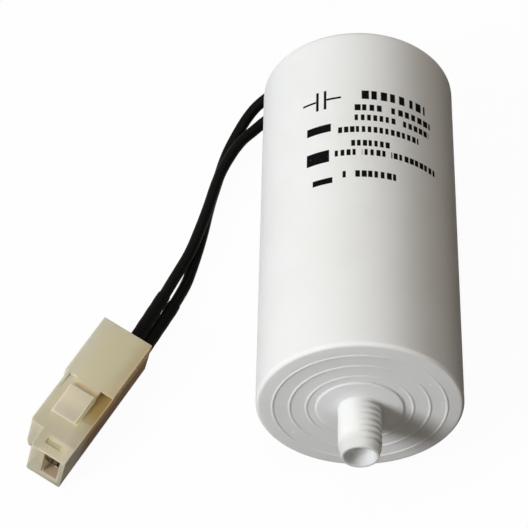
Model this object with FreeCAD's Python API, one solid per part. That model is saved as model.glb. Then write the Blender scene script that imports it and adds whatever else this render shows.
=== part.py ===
"""Motor-run capacitor with a stud-ended moulded case, a film winding and two plugged leads.

The case lies on its side, with its axis along Y. The origin is on that axis, where the
stud leaves the seating plane of the end face. The stud points to -Y, the leads leave the
open, potted end at +Y and come back beside the case to the connector. Lengths are in mm.
"""
import FreeCAD
import Part
import math
import os

from FreeCAD import Vector

# Case: one moulding with its end ribs, boss and hollow stud
case_diameter = 38.0
case_length = 77.0
case_wall = 1.6
end_wall = 2.6
end_edge_radius = 0.6
rim_edge_radius = 0.7
floor_corner_radius = 1.0

# Thin raised ribs and boss on the end face, all to one seating height
rib_radii = (9.75, 12.8, 15.9)
rib_width = 0.6
rib_height = 0.35
boss_diameter = 16.2
boss_edge_radius = 0.3

# Hollow stud; its thread's crests lie on this diameter
stud_diameter = 8.0
stud_length = 10.4
stud_root_radius = 0.2
tip_diameter = 6.8
tip_chamfer_length = 2.4
bore_mouth_diameter = 5.8
bore_floor_diameter = 3.6
bore_depth = 4.4
bore_floor_radius = 1.4

# Film winding on its core, with a sprayed metal face at each end
core_diameter = 8.0
core_bore_diameter = 5.8
spray_thickness = 0.8
winding_standoff = 2.0
winding_gap = 1.0

# Resin that seals the open end, and its depth over the winding
resin_recess = 3.0
resin_cover = 7.8

# Solder pools that join the leads to the sprayed faces
solder_height = 1.3
solder_inner_diameter = 10.0
solder_outer_diameter = 5.0
solder_taper = 0.55
stripped_length = 1.0

# Leads: two insulated wires
wire_diameter = 2.2
conductor_diameter = 1.1
lead_b_exit_x = -3.0
lead_b_exit_z = -8.0

# Heat-shrink sleeves on the leads at the connector
sleeve_diameter = 2.7
sleeve_insert = 3.0
tip_bend_radius = 6.0

# Connector housing, in its own axes: u to the nose, v to the right, w up from its top
connector_x = -48.22
connector_behind_rim = 52.07
connector_heading = -117.77
connector_pitch = 0.47
connector_roll = -11.68
housing_width = 10.75
housing_height = 9.13
housing_length = 27.05
front_length = 12.75
front_inset = 0.53
underside_chamfer = 0.8
front_corner_radius = 0.9
nose_length = 4.25
nose_left = 3.35
nose_corner_radius = 0.5

# Mouth in the nose, and the window above it
mouth_left = 6.45
mouth_right = 9.75
mouth_top = 0.4
mouth_bottom = 7.3
mouth_depth = 3.8
window_set_back = 3.0
window_length = 1.1
window_left = 5.15
window_right = 8.65
window_depth = 0.35

# Latch: a raised catch between a stepped corner on the right and a slot on the left
catch_offset = 2.1
catch_length = 6.8
catch_left = 2.65
catch_right = 7.85
catch_rear_height = 0.9
catch_front_height = 0.45
step_left = 8.15
step_length = 8.8
step_depth = 1.1
slot_left = 1.2
slot_right = 2.65
slot_length = 4.5
slot_depth = 0.5

# Cavities behind the mouth: one tunnel for each contact, and the pocket for the sleeves
tunnel_clearance = 0.08
pocket_wall = 1.5
pocket_clearance = 0.06

# Contacts: folded brass receptacles, one above the other
strip_thickness = 0.25
contact_width = 3.2
contact_height = 2.0
contact_b_drop = 2.45
contact_pitch = 3.2
receptacle_length = 7.0
contact_front_set_back = 0.5
contact_a_extra_set_back = 2.2
curl_end_angle = 122.0
conductor_crimp_offset = 3.8
conductor_crimp_length = 3.0
insulation_crimp_length = 2.4
crimp_seam = 0.35
neck_width = 1.2
neck_rise = 2.4
neck_clearance = 0.3

# Places where the sleeves enter the rear face of the housing
entry_a_v = 9.0
entry_a_drop = 5.45
entry_b_v = 6.8
entry_b_drop = 3.55
tip_straight_share = 0.4

case_radius = case_diameter / 2
table_z = -case_radius
cavity_radius = case_radius - case_wall
end_face_y = rib_height
rim_y = end_face_y + case_length
floor_y = end_face_y + end_wall
resin_y = rim_y - resin_recess
spray_inner_y = floor_y + winding_standoff
film_start_y = spray_inner_y + spray_thickness
spray_outer_y = resin_y - resin_cover
film_end_y = spray_outer_y - spray_thickness
winding_radius = cavity_radius - winding_gap
wire_radius = wire_diameter / 2
conductor_radius = conductor_diameter / 2
mouth_centre_v = (mouth_left + mouth_right) / 2
nose_end = housing_length + nose_length
block_length = housing_length - front_length
pocket_length = block_length - pocket_wall
strip_point = pocket_length - neck_clearance - neck_rise
conductor_crimp_start = pocket_length + conductor_crimp_offset
catch_start = block_length + catch_offset
window_start = nose_end - window_set_back

# Routes of the two leads, from the resin to their sleeves: x, y past the rim, and height
# above the surface that the case lies on
lead_a_route = [
    (0.0, -resin_recess, case_radius),
    (0.0, 2.6, case_radius),
    (-4.0, 7.5, 16.7),
    (-10.2, 10.4, 12.8),
    (-15.6, 11.2, 9.2),
    (-19.9, 9.7, 6.0),
    (-22.2, 7.5, 4.2),
    (-24.2, 4.1, 2.8),
    (-26.7, -1.4, 1.5),
    (-28.1, -7.7, 1.15),
    (-29.75, -15.2, 1.15),
    (-30.9, -23.2, 1.15),
    (-32.7, -32.0, 1.3),
]
lead_b_route = [
    (lead_b_exit_x, -resin_recess, case_radius + lead_b_exit_z),
    (lead_b_exit_x, 1.2, case_radius + lead_b_exit_z),
    (-5.4, 5.0, 9.5),
    (-9.4, 7.8, 7.8),
    (-14.2, 8.2, 6.2),
    (-18.0, 6.5, 4.8),
    (-20.8, 3.6, 4.2),
    (-23.8, 0.4, 4.0),
    (-26.9, -6.3, 3.75),
    (-28.3, -11.0, 3.6),
    (-29.5, -16.8, 3.55),
    (-31.1, -23.0, 3.55),
    (-33.0, -29.6, 3.6),
]
sleeve_a_start = (-36.95, -44.6, 2.5)
sleeve_b_start = (-37.4, -40.9, 4.4)
lead_a_last_run = 8.0
lead_b_last_run = 6.0


def corner_arc(before, corner, after, radius):
    """Arc that rounds a corner between two straight runs, with its two ends."""
    to_before = (before - corner).normalize()
    to_after = (after - corner).normalize()
    half_angle = to_before.getAngle(to_after) / 2
    setback = radius / math.tan(half_angle)
    start = corner + to_before * setback
    end = corner + to_after * setback
    bisector = (to_before + to_after).normalize()
    middle = corner + bisector * (radius / math.sin(half_angle) - radius)
    return Part.Arc(start, middle, end), start, end


def rounded_face(corners):
    """Flat face in the XY plane from (x, y, radius) corners, rounded where radius is set."""
    points = [Vector(x, y, 0) for x, y, _ in corners]
    edges = []
    ends = []
    for index, point in enumerate(points):
        radius = corners[index][2]
        after = points[(index + 1) % len(points)]
        if radius:
            arc, start, end = corner_arc(points[index - 1], point, after, radius)
            ends.append((start, end))
            edges.append(arc.toShape())
        else:
            ends.append((point, point))
    for index in range(len(points)):
        start = ends[index][1]
        end = ends[(index + 1) % len(points)][0]
        if start.distanceToPoint(end) > 1e-6:
            edges.append(Part.LineSegment(start, end).toShape())
    return Part.Face(Part.Wire(Part.__sortEdges__(edges)))


def turned(corners):
    """Solid of revolution about the Y axis from (radius, y, fillet) corners."""
    return rounded_face(corners).revolve(Vector(0, 0, 0), Vector(0, 1, 0), 360)


def rod(diameter, start_y, end_y, x=0.0, z=0.0):
    """Round rod along Y."""
    return Part.makeCylinder(diameter / 2, end_y - start_y, Vector(x, start_y, z), Vector(0, 1, 0))


def block(u_range, v_range, w_range):
    """Box in the connector's axes, between two values along each."""
    size = [high - low for low, high in (u_range, v_range, w_range)]
    return Part.makeBox(*size, Vector(u_range[0], v_range[0], w_range[0]))


def side_profile(corners, v_start, v_end):
    """Solid with a (u, w) outline, from one v to another."""
    points = [Vector(u, v_start, w) for u, w in corners]
    return Part.Face(Part.makePolygon(points + points[:1])).extrude(Vector(0, v_end - v_start, 0))


def rib_corners():
    """Corners of the ribs between the boss and the case's edge, from the inside out."""
    corners = []
    for radius in rib_radii:
        foot = rib_width / 2
        crest = rib_width / 5
        corners.append((radius - foot, end_face_y, 0))
        corners.append((radius - crest, 0, rib_width / 8))
        corners.append((radius + crest, 0, rib_width / 8))
        corners.append((radius + foot, end_face_y, 0))
    return corners


def cavity(top_y):
    """Inside of the case, from its floor up to a height."""
    return turned([
        (0, floor_y, 0),
        (cavity_radius, floor_y, floor_corner_radius),
        (cavity_radius, top_y, 0),
        (0, top_y, 0),
    ])


def make_case():
    """Case with its ribbed end, boss and hollow stud."""
    bore_floor_y = bore_depth - stud_length
    outside = turned([
        (0, bore_floor_y, 0),
        (bore_floor_diameter / 2, bore_floor_y, bore_floor_radius),
        (bore_mouth_diameter / 2, -stud_length, 0),
        (tip_diameter / 2, -stud_length, 0),
        (stud_diameter / 2, tip_chamfer_length - stud_length, 0),
        (stud_diameter / 2, 0, stud_root_radius),
        (boss_diameter / 2, 0, boss_edge_radius),
        (boss_diameter / 2, end_face_y, 0),
        *rib_corners(),
        (case_radius, end_face_y, end_edge_radius),
        (case_radius, rim_y, rim_edge_radius),
        (0, rim_y, 0),
    ])
    return outside.cut(cavity(rim_y))


def make_winding():
    """Core, wound film and the sprayed face at each of its ends."""
    core = rod(core_diameter, spray_inner_y, spray_outer_y)
    core = core.cut(rod(core_bore_diameter, spray_inner_y, spray_outer_y))

    def around_core(start_y, end_y):
        outer = rod(2 * winding_radius, start_y, end_y)
        return outer.cut(rod(core_diameter, start_y, end_y))

    return {
        "winding_core": core,
        "film_winding": around_core(film_start_y, film_end_y),
        "end_spray_inner": around_core(spray_inner_y, film_start_y),
        "end_spray_outer": around_core(film_end_y, spray_outer_y),
    }


def solder_pool(diameter, face_y, height, x=0.0, z=0.0):
    """Flattened pool of solder on a sprayed face; a negative height points to -Y."""
    top = diameter / 2 * solder_taper
    pool = turned([
        (0, face_y, 0),
        (diameter / 2, face_y, 0),
        (top, face_y + height, abs(height) / 2),
        (0, face_y + height, 0),
    ])
    pool.translate(Vector(x, 0, z))
    return pool


def make_roots():
    """Stretches of the leads inside the case, with the solder that holds their ends."""
    root_a = rod(wire_diameter, spray_inner_y + stripped_length, resin_y)
    root_a = root_a.fuse(rod(conductor_diameter, spray_inner_y, spray_inner_y + stripped_length))
    bare_end_y = spray_outer_y + solder_height
    root_b = rod(wire_diameter, bare_end_y, resin_y, lead_b_exit_x, lead_b_exit_z)
    bare_end = rod(conductor_diameter, spray_outer_y, bare_end_y, lead_b_exit_x, lead_b_exit_z)
    root_b = root_b.fuse(bare_end)
    solder_b = solder_pool(solder_outer_diameter, spray_outer_y, solder_height,
                           lead_b_exit_x, lead_b_exit_z)
    return {
        "lead_root_a": root_a,
        "lead_root_b": root_b,
        "solder_inner": solder_pool(solder_inner_diameter, spray_inner_y, -solder_height),
        "solder_outer": solder_b.cut(root_b),
    }


def make_resin(inner_pieces):
    """Resin that fills the case round everything inside it."""
    resin = cavity(resin_y)
    for piece in inner_pieces:
        resin = resin.cut(piece)
    return resin


def connector_placement():
    """Pose of the connector, turned as it lies and set down on the case's own surface."""
    rotation = FreeCAD.Rotation(connector_heading, connector_pitch, connector_roll)
    lowest = min(
        rotation.multVec(Vector(u, v, -housing_height)).z
        for u in (0, nose_end)
        for v in (0, housing_width)
    )
    corner = Vector(connector_x, rim_y - connector_behind_rim, table_z - lowest)
    return FreeCAD.Placement(corner, rotation)


def housing_outside():
    """Outer form of the housing: rear block, inset front and narrower nose."""
    rear = block((0, block_length), (0, housing_width), (-housing_height, 0))
    section = [
        Vector(block_length, front_inset, 0),
        Vector(block_length, housing_width, 0),
        Vector(block_length, housing_width, -housing_height),
        Vector(block_length, front_inset + underside_chamfer, -housing_height),
        Vector(block_length, front_inset, -housing_height + underside_chamfer),
    ]
    front_length = housing_length - block_length
    front = Part.Face(Part.makePolygon(section + section[:1])).extrude(Vector(front_length, 0, 0))
    front = round_upright_edge(front, housing_length, front_inset, front_corner_radius)
    nose = block((housing_length, nose_end), (nose_left, housing_width), (-housing_height, 0))
    nose = round_upright_edge(nose, nose_end, nose_left, nose_corner_radius)
    return rear.fuse([front, nose])


def round_upright_edge(shape, u, v, radius):
    """Round the upright edge that stands at (u, v)."""
    edges = []
    for edge in shape.Edges:
        on_line = all(abs(end.Point.x - u) < 1e-6 and abs(end.Point.y - v) < 1e-6
                      for end in edge.Vertexes)
        if on_line:
            edges.append(edge)
    return shape.makeFillet(radius, edges)


def latch_catch():
    """Wedge that rises towards the rear, on the top of the housing."""
    catch_end = catch_start + catch_length
    return side_profile([
        (catch_start, -step_depth),
        (catch_start, catch_rear_height),
        (catch_end, catch_front_height),
        (catch_end, -step_depth),
    ], catch_left, catch_right)


def ramp_cut(start, length, depth, v_start, v_end):
    """Cut in the top that is deepest at its rear end and runs out towards the nose."""
    return side_profile([
        (start, catch_rear_height),
        (start, -depth),
        (start + length, 0),
        (start + length, catch_rear_height),
    ], v_start, v_end)


def contact_centre(drop):
    """Height of a contact's centre line below the top of the housing."""
    return -contact_b_drop - drop


def contact_tunnel(drop):
    """Tunnel that holds one receptacle, from the sleeve pocket to the mouth."""
    half_width = contact_width / 2 + tunnel_clearance
    half_height = contact_height / 2 + tunnel_clearance
    centre = contact_centre(drop)
    return block(
        (pocket_length, nose_end - mouth_depth),
        (mouth_centre_v - half_width, mouth_centre_v + half_width),
        (centre - half_height, centre + half_height),
    )


def sleeve_pocket():
    """Pocket in the rear face that takes the sleeves and the insulation crimps."""
    reach = sleeve_diameter / 2 + pocket_clearance
    crimp_reach = wire_radius + strip_thickness + pocket_clearance
    return block(
        (0, pocket_length),
        (entry_b_v - reach, entry_a_v + reach),
        (contact_centre(contact_pitch) - crimp_reach, contact_centre(0) + crimp_reach),
    )


def make_housing():
    """Connector housing with its latch, mouth, window and cavities."""
    shape = housing_outside().fuse(latch_catch())
    cuts = [
        ramp_cut(block_length, step_length, step_depth, step_left, housing_width),
        ramp_cut(block_length, slot_length, slot_depth, slot_left, slot_right),
        block((nose_end - mouth_depth, nose_end), (mouth_left, mouth_right),
              (-mouth_bottom, -mouth_top)),
        block((window_start, window_start + window_length), (window_left, window_right),
              (-window_depth, 0)),
        contact_tunnel(0),
        contact_tunnel(contact_pitch),
        sleeve_pocket(),
    ]
    return shape.cut(cuts).removeSplitter()


def ring_sector(radius, thickness, start_angle, end_angle, centre_v, centre_w, u_range):
    """Curved strip along u: a ring of the given outer radius between two angles."""
    def at(distance, angle):
        turn = math.radians(angle)
        return Vector(u_range[0], centre_v + distance * math.cos(turn),
                      centre_w + distance * math.sin(turn))

    middle_angle = (start_angle + end_angle) / 2
    inner = radius - thickness
    edges = [
        Part.Arc(at(radius, start_angle), at(radius, middle_angle), at(radius, end_angle)),
        Part.LineSegment(at(radius, end_angle), at(inner, end_angle)),
        Part.Arc(at(inner, end_angle), at(inner, middle_angle), at(inner, start_angle)),
        Part.LineSegment(at(inner, start_angle), at(radius, start_angle)),
    ]
    wire = Part.Wire([edge.toShape() for edge in edges])
    return Part.Face(wire).extrude(Vector(u_range[1] - u_range[0], 0, 0))


def crimp_barrel(core_radius, centre_w, u_range):
    """Barrel closed round a wire, with a narrow seam along its top."""
    outer = core_radius + strip_thickness
    half_seam = math.degrees(crimp_seam / 2 / outer)
    return ring_sector(outer, strip_thickness, 90 + half_seam, 450 - half_seam,
                       mouth_centre_v, centre_w, u_range)


def make_contact(drop, set_back):
    """Folded receptacle contact: two curled sides, a neck and two crimp barrels."""
    centre = contact_centre(drop)
    front = nose_end - set_back
    rear = front - receptacle_length
    curl_radius = contact_height / 2
    curl_centre = contact_width / 2 - curl_radius
    floor_w = centre - curl_radius
    right_curl = ring_sector(curl_radius, strip_thickness, -90, curl_end_angle,
                             mouth_centre_v + curl_centre, centre, (rear, front))
    left_curl = ring_sector(curl_radius, strip_thickness, 180 - curl_end_angle, 270,
                            mouth_centre_v - curl_centre, centre, (rear, front))
    floor = block((rear, front), (mouth_centre_v - curl_centre, mouth_centre_v + curl_centre),
                  (floor_w, floor_w + strip_thickness))
    crimp_end = conductor_crimp_start + conductor_crimp_length
    conductor_crimp = crimp_barrel(conductor_radius, centre, (conductor_crimp_start, crimp_end))
    insulation_start = strip_point - insulation_crimp_length
    insulation_crimp = crimp_barrel(wire_radius, centre, (insulation_start, strip_point))
    conductor_floor = centre - conductor_radius - strip_thickness
    insulation_floor = centre - wire_radius - strip_thickness
    neck = side_profile([
        (rear + strip_thickness, floor_w),
        (rear + strip_thickness, floor_w + strip_thickness),
        (crimp_end, conductor_floor + strip_thickness),
        (strip_point + neck_rise, conductor_floor + strip_thickness),
        (strip_point, insulation_floor + strip_thickness),
        (insulation_start, insulation_floor + strip_thickness),
        (insulation_start, insulation_floor),
        (strip_point, insulation_floor),
        (strip_point + neck_rise, conductor_floor),
        (crimp_end, conductor_floor),
    ], mouth_centre_v - neck_width / 2, mouth_centre_v + neck_width / 2)
    neck = neck.cut(wire_clearance(centre, crimp_end))
    pieces = [left_curl, floor, neck, conductor_crimp, insulation_crimp]
    return right_curl.fuse(pieces).removeSplitter()


def wire_clearance(centre_w, crimp_end):
    """Space that the crimped wire takes above a contact's strip."""
    along = Vector(1, 0, 0)
    insulated = Part.makeCylinder(wire_radius, strip_point, Vector(0, mouth_centre_v, centre_w), along)
    bare_start = Vector(strip_point, mouth_centre_v, centre_w)
    return insulated.fuse(Part.makeCylinder(conductor_radius, crimp_end - strip_point, bare_start, along))


def conductor_end(drop):
    """Bare strands, from the end of the insulation to the end of their crimp."""
    length = conductor_crimp_start + conductor_crimp_length - strip_point
    start = Vector(strip_point, mouth_centre_v, contact_centre(drop))
    return Part.makeCylinder(conductor_radius, length, start, Vector(1, 0, 0))


def bent_path(points, radius_at):
    """Wire of straight runs joined by tangent arcs, whose radii radius_at gives."""
    edges = []
    last = points[0]
    for index in range(1, len(points) - 1):
        radius = radius_at(points, index)
        arc, start, end = corner_arc(points[index - 1], points[index], points[index + 1], radius)
        edges.append(Part.LineSegment(last, start).toShape())
        edges.append(arc.toShape())
        last = end
    edges.append(Part.LineSegment(last, points[-1]).toShape())
    return Part.Wire(edges)


def loose_radius(points, index):
    """Largest easy bend at a point of a loose wire."""
    before = points[index] - points[index - 1]
    after = points[index + 1] - points[index]
    shorter = min(before.Length, after.Length)
    return 0.45 * shorter / math.tan(before.getAngle(after) / 2)


def tube(path, diameter):
    """Round solid swept along a path."""
    first = path.OrderedEdges[0]
    start = first.valueAt(first.FirstParameter)
    direction = first.tangentAt(first.FirstParameter)
    section = Part.Wire(Part.Circle(start, direction, diameter / 2).toShape())
    return path.makePipeShell([section], True, False)


def on_route(point):
    """Place of a route's point in the row's frame."""
    x, past_rim, height = point
    return Vector(x, rim_y + past_rim, table_z + height)


def tip_points(placement, start, entry_v, entry_drop, drop):
    """Corners of a lead's end: sleeve start, rear face, in line with the contact, strip point."""
    centre = contact_centre(drop)
    straight_start = strip_point * (1 - tip_straight_share)
    return [
        on_route(start),
        placement.multVec(Vector(0, entry_v, -entry_drop)),
        placement.multVec(Vector(straight_start, mouth_centre_v, centre)),
        placement.multVec(Vector(strip_point, mouth_centre_v, centre)),
    ]


def tip_radius(points, index):
    """One bend radius for the short lead ends in the housing."""
    return tip_bend_radius


def make_lead(name, route, last_run, corners):
    """Loose lead, its straight end and its sleeve."""
    along = (corners[1] - corners[0]).normalize()
    points = [on_route(point) for point in route] + [corners[0] - along * last_run, corners[0]]
    path = bent_path(points, loose_radius)
    lead = tube(path, wire_diameter)
    radii = [loose_radius(points, index) for index in range(1, len(points) - 1)]
    expected = path.Length * math.pi * wire_radius ** 2
    print(name, "length", round(path.Length, 1), "radii", [round(radius, 1) for radius in radii],
          "volume ratio", round(lead.Volume / expected, 4))
    tip = tube(bent_path(corners, tip_radius), wire_diameter)
    into = (corners[2] - corners[1]).normalize()
    sleeve_path = bent_path([corners[0], corners[1], corners[1] + into * sleeve_insert], tip_radius)
    sleeve = tube(sleeve_path, sleeve_diameter).cut(tube(sleeve_path, wire_diameter))
    return {"lead_" + name: lead, "lead_tip_" + name: tip, "sleeve_" + name: sleeve}


def make_connector(placement):
    """Housing and its two contacts, in the row's frame."""
    nose_set_back = contact_front_set_back + contact_a_extra_set_back
    local = {
        "connector_housing": make_housing(),
        "contact_a": make_contact(contact_pitch, nose_set_back),
        "contact_b": make_contact(0, contact_front_set_back),
        "conductor_end_a": conductor_end(contact_pitch),
        "conductor_end_b": conductor_end(0),
    }
    return {name: shape.transformed(placement.Matrix, True) for name, shape in local.items()}


def build():
    """All nodes by name."""
    nodes = {"case": make_case()}
    inside = {**make_winding(), **make_roots()}
    nodes.update(inside)
    nodes["resin_fill"] = make_resin(inside.values())
    placement = connector_placement()
    nodes.update(make_connector(placement))
    corners_a = tip_points(placement, sleeve_a_start, entry_a_v, entry_a_drop, contact_pitch)
    corners_b = tip_points(placement, sleeve_b_start, entry_b_v, entry_b_drop, 0)
    nodes.update(make_lead("a", lead_a_route, lead_a_last_run, corners_a))
    nodes.update(make_lead("b", lead_b_route, lead_b_last_run, corners_b))
    return nodes


def main():
    os.makedirs("parts", exist_ok=True)
    for name, shape in build().items():
        if len(shape.Solids) != 1 or not shape.isValid():
            print("check", name, len(shape.Solids), "solids, valid", shape.isValid())
        shape.exportStep("parts/" + name + ".step")


main()
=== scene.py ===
"""Looks of a motor run capacitor: white moulded case, potted end, black leads and a nylon plug.

Lengths in the classes are in millimetres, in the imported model's own frame, and are turned into
metres where a mesh, a curve or a lamp is made.
"""
from __future__ import annotations

import logging
import math
from dataclasses import dataclass
from enum import Enum
from typing import Callable, Sequence

import bmesh
import bpy
from mathutils import Matrix, Vector


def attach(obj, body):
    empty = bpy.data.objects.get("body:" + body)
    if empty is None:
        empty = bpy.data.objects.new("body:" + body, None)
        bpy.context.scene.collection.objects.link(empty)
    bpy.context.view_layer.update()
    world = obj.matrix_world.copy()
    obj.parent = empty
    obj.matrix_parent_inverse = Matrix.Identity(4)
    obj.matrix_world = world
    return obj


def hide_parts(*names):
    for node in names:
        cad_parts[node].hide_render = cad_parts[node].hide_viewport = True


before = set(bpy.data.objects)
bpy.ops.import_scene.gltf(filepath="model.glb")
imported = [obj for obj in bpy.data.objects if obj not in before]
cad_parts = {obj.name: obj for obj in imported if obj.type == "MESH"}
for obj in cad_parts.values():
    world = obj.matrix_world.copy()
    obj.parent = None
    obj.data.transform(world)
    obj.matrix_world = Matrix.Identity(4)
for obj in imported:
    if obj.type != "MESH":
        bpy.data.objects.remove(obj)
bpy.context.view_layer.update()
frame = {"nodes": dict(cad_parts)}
MM = 0.001
LOG = logging.getLogger("capacitor")

Pair = tuple[float, float]
Point = tuple[float, float, float]
Faces = list[tuple[int, ...]]
Mesh = tuple[list[Point], Faces]
Thing = bpy.types.Object
Material = bpy.types.Material
Socket = bpy.types.NodeSocket
Tint = "Socket | Point"
Number = "Value | float"


class Slot(Enum):
    """Names of material slots, which no piece in this script uses."""

    CASE = "case_plastic"
    RESIN = "potting_resin"
    WIRE = "wire_insulation"
    SLEEVE = "shrink_sleeve"
    NYLON = "housing_nylon"


class Carving(Enum):
    """How one solid changes another."""

    CUT = "DIFFERENCE"
    JOIN = "UNION"


def math_method(operation: str, swapped: bool = False) -> Callable[..., "Value"]:
    """Makes a method of Value that adds a Math node.

    Args:
        operation: The node's operation.
        swapped: Whether the value itself is the last input instead of the first.

    Returns:
        The method, which takes the node's other inputs.
    """
    def method(self: "Value", *others: Number) -> "Value":
        """The node's result."""
        values = (*others, self) if swapped else (self, *others)
        return self.shader.value("ShaderNodeMath", {"operation": operation}, dict(enumerate(values)))

    return method


class Value:
    """A number in a shader that takes ordinary arithmetic."""

    __add__ = math_method("ADD")
    __sub__ = math_method("SUBTRACT")
    __rsub__ = math_method("SUBTRACT", swapped=True)
    __mul__ = math_method("MULTIPLY")
    __truediv__ = math_method("DIVIDE")
    __pow__ = math_method("POWER")
    above = math_method("GREATER_THAN")
    larger = math_method("MAXIMUM")
    floor = math_method("FLOOR")
    fraction = math_method("FRACT")
    sine = math_method("SINE")
    angle_from = math_method("ARCTAN2")

    def __init__(self, shader: "Shader", socket: Socket) -> None:
        """Wraps a socket of a shader."""
        self.shader = shader
        self.socket = socket

    def ramp(self, low: float, high: float) -> "Value":
        """Smooth step, from 0 at or below low to 1 at or above high."""
        return self.shader.value("ShaderNodeMapRange", {"interpolation_type": "SMOOTHSTEP"},
                                 {"Value": self, "From Min": low, "From Max": high}, "Result")

    def band(self, low: Number, high: Number, soft: float) -> "Value":
        """Mask that is 1 from low to high and 0 outside, with each end blended over soft either way."""
        return (self - low).ramp(-soft, soft) * (1 - (self - high).ramp(-soft, soft))


class Shader:
    """The nodes of one material, or of the world."""

    def __init__(self, name: str, world: bpy.types.World | None = None) -> None:
        """Empties a new material, or the world given.

        Args:
            name: The material's name.
            world: The world, when the nodes are its own.
        """
        self.owner = world or bpy.data.materials.new(name)
        self.owner.use_nodes = True
        self.tree = self.owner.node_tree
        self.tree.nodes.clear()

    def node(self, kind: str, settings: dict, values: dict) -> bpy.types.Node:
        """Adds a node.

        Args:
            kind: The node's type.
            settings: Its properties, set first.
            values: Values or links by the name or number of its sockets.

        Returns:
            The node.
        """
        made = self.tree.nodes.new(kind)
        for key, value in settings.items():
            setattr(made, key, value)
        for key, value in values.items():
            socket = made.inputs[key]
            if isinstance(value, Value):
                self.tree.links.new(value.socket, socket)
            elif isinstance(value, Socket):
                self.tree.links.new(value, socket)
            else:
                socket.default_value = value
        return made

    def value(self, kind: str, settings: dict, values: dict, output: str | int = 0) -> Value:
        """Adds a node as node() does, and gives one of its outputs as a number."""
        return Value(self, self.node(kind, settings, values).outputs[output])

    def place(self) -> Socket:
        """Position on the piece, in metres in the model's frame."""
        return self.node("ShaderNodeTexCoord", {}, {}).outputs["Object"]

    def axes(self, base: Matrix = Matrix.Identity(4)) -> tuple[Value, Value, Value]:
        """Position along the axes of a frame.

        Args:
            base: The frame, in metres.

        Returns:
            Three numbers, in millimetres.
        """
        place = self.place()
        own = []
        for row in base.inverted()[:3]:
            along = self.value("ShaderNodeVectorMath", {"operation": "DOT_PRODUCT"},
                               {0: place, 1: tuple(row[:3])}, "Value")
            own.append((along + row[3]) * 1000.0)
        return tuple(own)

    def noise(self, size: float, detail: float = 3.0, stretch: Point = (1.0, 1.0, 1.0)) -> Value:
        """Soft random pattern.

        Args:
            size: Size of its features in millimetres.
            detail: Levels of finer detail.
            stretch: Scale of the position along each axis.

        Returns:
            A number from 0 to 1, about 0.5 on average.
        """
        mapped = self.node("ShaderNodeMapping", {}, {"Vector": self.place(), "Scale": stretch})
        return self.value("ShaderNodeTexNoise", {}, {
            "Vector": mapped.outputs[0], "Scale": 1000.0 / size, "Detail": detail, "Roughness": 0.55,
        })

    def cells(self, size: float) -> Value:
        """Distance from the middle of cells that have that size in millimetres."""
        return self.value("ShaderNodeTexVoronoi", {"feature": "F1"},
                          {"Vector": self.place(), "Scale": 1000.0 / size}, "Distance")

    def random(self, seed: Value) -> Value:
        """Random number from 0 to 1 for each value of the seed."""
        return self.value("ShaderNodeTexWhiteNoise", {"noise_dimensions": "1D"}, {"W": seed}, "Value")

    def seen_directly(self) -> Value:
        """Tells what is seen from what only scatters light.

        Returns:
            1 for what the camera, a reflection or a refraction sees, 0 for scattered light.
        """
        path = self.node("ShaderNodeLightPath", {}, {})
        kinds = ("Is Camera Ray", "Is Glossy Ray", "Is Transmission Ray")
        camera, glossy, through = (Value(self, path.outputs[kind]) for kind in kinds)
        return camera.larger(glossy).larger(through)

    def mix(self, amount: Number, first: Tint, second: Tint) -> Socket:
        """Mixes two colours.

        Args:
            amount: Share of the second colour.
            first: Colour or link.
            second: Colour or link.

        Returns:
            The mixed colour.
        """
        colours = [(*value, 1.0) if isinstance(value, tuple) else value for value in (first, second)]
        values = {0: amount, 6: colours[0], 7: colours[1]}
        return self.node("ShaderNodeMix", {"data_type": "RGBA"}, values).outputs[2]

    def layered(self, base: Tint, *layers: tuple[Number, Tint]) -> Tint:
        """Colour with tints mixed into it one after another.

        Args:
            base: The colour under all the others.
            layers: The others in order, each as (amount, tint).

        Returns:
            The mixed colour.
        """
        for amount, tint in layers:
            base = self.mix(amount, base, tint)
        return base

    def bump(self, height: Value, depth: float) -> Socket:
        """Relief of a height from 0 to 1 that is depth millimetres deep."""
        values = {"Height": height, "Distance": depth * MM, "Strength": 1.0}
        return self.node("ShaderNodeBump", {}, values).outputs[0]

    def surface(self, values: dict) -> Material:
        """Finishes the material.

        Args:
            values: Values or links of the Principled shader's sockets.

        Returns:
            The material.
        """
        shader = self.node("ShaderNodeBsdfPrincipled", {}, values)
        self.node("ShaderNodeOutputMaterial", {}, {"Surface": shader.outputs[0]})
        return self.owner


@dataclass(frozen=True)
class PrintRow:
    """Row of plain printed marks round the case, with its angles in degrees from the top."""

    y: float
    height: float
    start: float
    end: float
    pitch: float
    gaps: tuple[Pair, ...] = ()


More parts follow.
